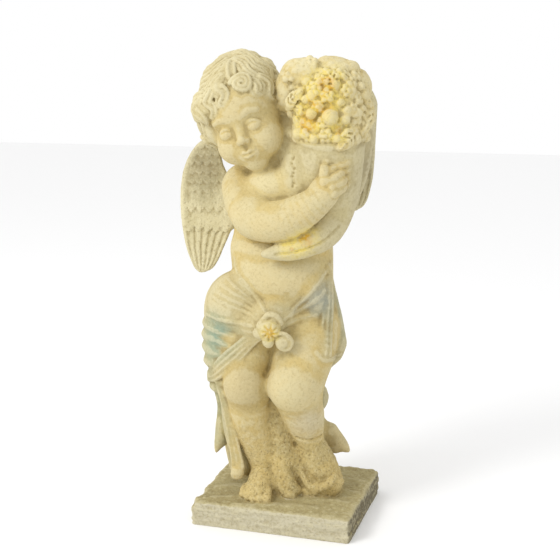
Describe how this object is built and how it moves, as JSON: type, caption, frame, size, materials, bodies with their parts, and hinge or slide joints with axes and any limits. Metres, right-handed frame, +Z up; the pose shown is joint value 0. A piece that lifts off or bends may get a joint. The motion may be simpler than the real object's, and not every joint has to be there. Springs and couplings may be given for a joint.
{
  "type": "garden statue",
  "caption": "Cast stone garden statue of a winged child in a knotted cloth, holding up a horn filled with fruit, on a rough square plinth.",
  "frame": {"origin": "centre of the plinth's underside", "axes": "+Z up, -Y towards the front edge of the plinth, +X to the viewer's right; the figure is turned 16.9 degrees about +Z on its plinth"},
  "size_m": [0.2657, 0.1841, 0.6006],
  "materials": {
    "stone": "matt, fine grained, weathered"
  },
  "bodies": {
    "root": {"angel_statue": "stone"}
  },
  "joints": []
}
